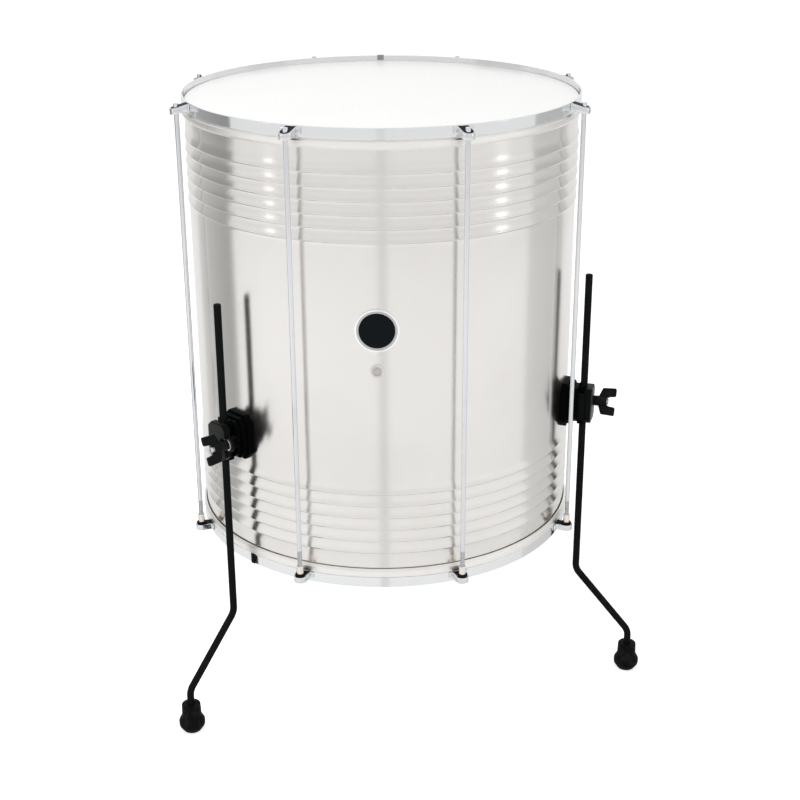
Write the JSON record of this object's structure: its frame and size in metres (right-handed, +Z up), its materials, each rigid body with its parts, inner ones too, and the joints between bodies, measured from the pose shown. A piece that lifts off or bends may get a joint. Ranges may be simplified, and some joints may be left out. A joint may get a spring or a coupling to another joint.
{
  "type": "surdo",
  "caption": "Floor surdo: a deep aluminium bass drum with rod-tensioned heads, standing on bent legs held in clamp brackets.",
  "frame": {"origin": "on the floor, under the middle of the whole drum's box; the drum's own axis stands 41 mm to -X and 52 mm to -Y of it, because the three feet stand out unevenly", "axes": "+Z up, out of the playing head; -Y is the front, with the badge and the vent; +X is to the right seen from the front"},
  "size_m": [0.6396, 0.629, 0.8125],
  "materials": {
    "shell": "satin, brushed round the shell",
    "head": "smooth white film, pale hoop",
    "chrome": "polished",
    "black_enamel": "satin black powder coat",
    "foot_rubber": "matte moulded",
    "black_plastic": "matte",
    "badge": "black centre in a bright rim, plain",
    "eyelet": "bright"
  },
  "bodies": {
    "drum": {"shell": "shell", "top_head": "head", "bottom_head": "head", "bottom_hoop": "chrome", "bottom_lug_1": "chrome", "rod_nut_1": "chrome", "bottom_lug_2": "chrome", "rod_nut_2": "chrome", "bottom_lug_3": "chrome", "rod_nut_3": "chrome", "bottom_lug_4": "chrome", "rod_nut_4": "chrome", "bottom_lug_5": "chrome", "rod_nut_5": "chrome", "bottom_lug_6": "chrome", "rod_nut_6": "chrome", "bottom_lug_7": "chrome", "rod_nut_7": "chrome", "bottom_lug_8": "chrome", "rod_nut_8": "chrome", "bottom_hoop_clip": "black_plastic", "vent_eyelet": "eyelet", "badge": "badge", "left_bracket": "black_enamel", "left_clamp_stud": "chrome", "right_bracket": "black_enamel", "right_clamp_stud": "chrome", "rear_bracket": "black_enamel", "rear_clamp_stud": "chrome"},
    "hoop_set": {"top_hoop": "chrome", "top_lug_1": "chrome", "top_lug_2": "chrome", "top_lug_3": "chrome", "top_lug_4": "chrome", "top_lug_5": "chrome", "top_lug_6": "chrome", "top_lug_7": "chrome", "top_lug_8": "chrome", "top_hoop_clip": "black_plastic"},
    "rod_1": {"tension_rod_1": "chrome"},
    "rod_2": {"tension_rod_2": "chrome"},
    "rod_3": {"tension_rod_3": "chrome"},
    "rod_4": {"tension_rod_4": "chrome"},
    "rod_5": {"tension_rod_5": "chrome"},
    "rod_6": {"tension_rod_6": "chrome"},
    "rod_7": {"tension_rod_7": "chrome"},
    "rod_8": {"tension_rod_8": "chrome"},
    "left_leg_set": {"left_leg": "black_enamel", "left_foot": "foot_rubber"},
    "left_clamp": {"left_clamp_plate": "black_enamel"},
    "left_wing": {"left_wing_nut": "black_enamel"},
    "right_leg_set": {"right_leg": "black_enamel", "right_foot": "foot_rubber"},
    "right_clamp": {"right_clamp_plate": "black_enamel"},
    "right_wing": {"right_wing_nut": "black_enamel"},
    "rear_leg_set": {"rear_leg": "black_enamel", "rear_foot": "foot_rubber"},
    "rear_clamp": {"rear_clamp_plate": "black_enamel"},
    "rear_wing": {"rear_wing_nut": "black_enamel"}
  },
  "joints": [
    {"name": "hoop_lift", "type": "slide", "parent": "drum", "child": "hoop_set", "axis": [0, 0, 1], "range_m": [0, 0.003]},
    {"name": "rod_1_turn", "type": "hinge", "parent": "hoop_set", "child": "rod_1", "pos_m": [-0.29388, -0.14974, 0.52], "axis": [0, 0, 1], "range_deg": [0, 1080]},
    {"name": "rod_2_turn", "type": "hinge", "parent": "hoop_set", "child": "rod_2", "pos_m": [-0.15068, -0.30021, 0.52], "axis": [0, 0, 1], "range_deg": [0, 1080]},
    {"name": "rod_3_turn", "type": "hinge", "parent": "hoop_set", "child": "rod_3", "pos_m": [0.05698, -0.30536, 0.52], "axis": [0, 0, 1], "range_deg": [0, 1080]},
    {"name": "rod_4_turn", "type": "hinge", "parent": "hoop_set", "child": "rod_4", "pos_m": [0.20745, -0.16217, 0.52], "axis": [0, 0, 1], "range_deg": [0, 1080]},
    {"name": "rod_5_turn", "type": "hinge", "parent": "hoop_set", "child": "rod_5", "pos_m": [0.2126, 0.04549, 0.52], "axis": [0, 0, 1], "range_deg": [0, 1080]},
    {"name": "rod_6_turn", "type": "hinge", "parent": "hoop_set", "child": "rod_6", "pos_m": [0.0694, 0.19597, 0.52], "axis": [0, 0, 1], "range_deg": [0, 1080]},
    {"name": "rod_7_turn", "type": "hinge", "parent": "hoop_set", "child": "rod_7", "pos_m": [-0.13825, 0.20111, 0.52], "axis": [0, 0, 1], "range_deg": [0, 1080]},
    {"name": "rod_8_turn", "type": "hinge", "parent": "hoop_set", "child": "rod_8", "pos_m": [-0.28873, 0.05792, 0.52], "axis": [0, 0, 1], "range_deg": [0, 1080]},
    {"name": "left_leg_slide", "type": "slide", "parent": "drum", "child": "left_leg_set", "axis": [0, 0, 1], "range_m": [-0.12, 0.15]},
    {"name": "left_clamp_slide", "type": "slide", "parent": "drum", "child": "left_clamp", "axis": [-0.7302, -0.6833, 0], "range_m": [0, 0.00313]},
    {"name": "left_wing_turn", "type": "hinge", "parent": "left_clamp", "child": "left_wing", "pos_m": [-0.24227, -0.26108, 0.4002], "axis": [-0.7302, -0.6833, 0], "range_deg": [0, 900]},
    {"name": "right_leg_slide", "type": "slide", "parent": "drum", "child": "right_leg_set", "axis": [0, 0, 1], "range_m": [-0.12, 0.15]},
    {"name": "right_clamp_slide", "type": "slide", "parent": "drum", "child": "right_clamp", "axis": [0.9568, -0.2907, 0], "range_m": [0, 0.00313]},
    {"name": "right_wing_turn", "type": "hinge", "parent": "right_clamp", "child": "right_wing", "pos_m": [0.24114, -0.12227, 0.4002], "axis": [0.9568, -0.2907, 0], "range_deg": [0, 900]},
    {"name": "rear_leg_slide", "type": "slide", "parent": "drum", "child": "rear_leg_set", "axis": [0, 0, 1], "range_m": [-0.12, 0.15]},
    {"name": "rear_clamp_slide", "type": "slide", "parent": "drum", "child": "rear_clamp", "axis": [-0.2267, 0.974, 0], "range_m": [0, 0.00313]},
    {"name": "rear_wing_turn", "type": "hinge", "parent": "rear_clamp", "child": "rear_wing", "pos_m": [-0.12078, 0.22698, 0.4002], "axis": [-0.2267, 0.974, 0], "range_deg": [0, 900]}
  ],
  "couplings": [
    {"joint": "rod_1_turn", "follows": "hoop_lift", "rad_per_m": 6283.2},
    {"joint": "rod_2_turn", "follows": "hoop_lift", "rad_per_m": 6283.2},
    {"joint": "rod_3_turn", "follows": "hoop_lift", "rad_per_m": 6283.2},
    {"joint": "rod_4_turn", "follows": "hoop_lift", "rad_per_m": 6283.2},
    {"joint": "rod_5_turn", "follows": "hoop_lift", "rad_per_m": 6283.2},
    {"joint": "rod_6_turn", "follows": "hoop_lift", "rad_per_m": 6283.2},
    {"joint": "rod_7_turn", "follows": "hoop_lift", "rad_per_m": 6283.2},
    {"joint": "rod_8_turn", "follows": "hoop_lift", "rad_per_m": 6283.2},
    {"joint": "left_wing_turn", "follows": "left_clamp_slide", "rad_per_m": 5026.5},
    {"joint": "right_wing_turn", "follows": "right_clamp_slide", "rad_per_m": 5026.5},
    {"joint": "rear_wing_turn", "follows": "rear_clamp_slide", "rad_per_m": 5026.5}
  ]
}
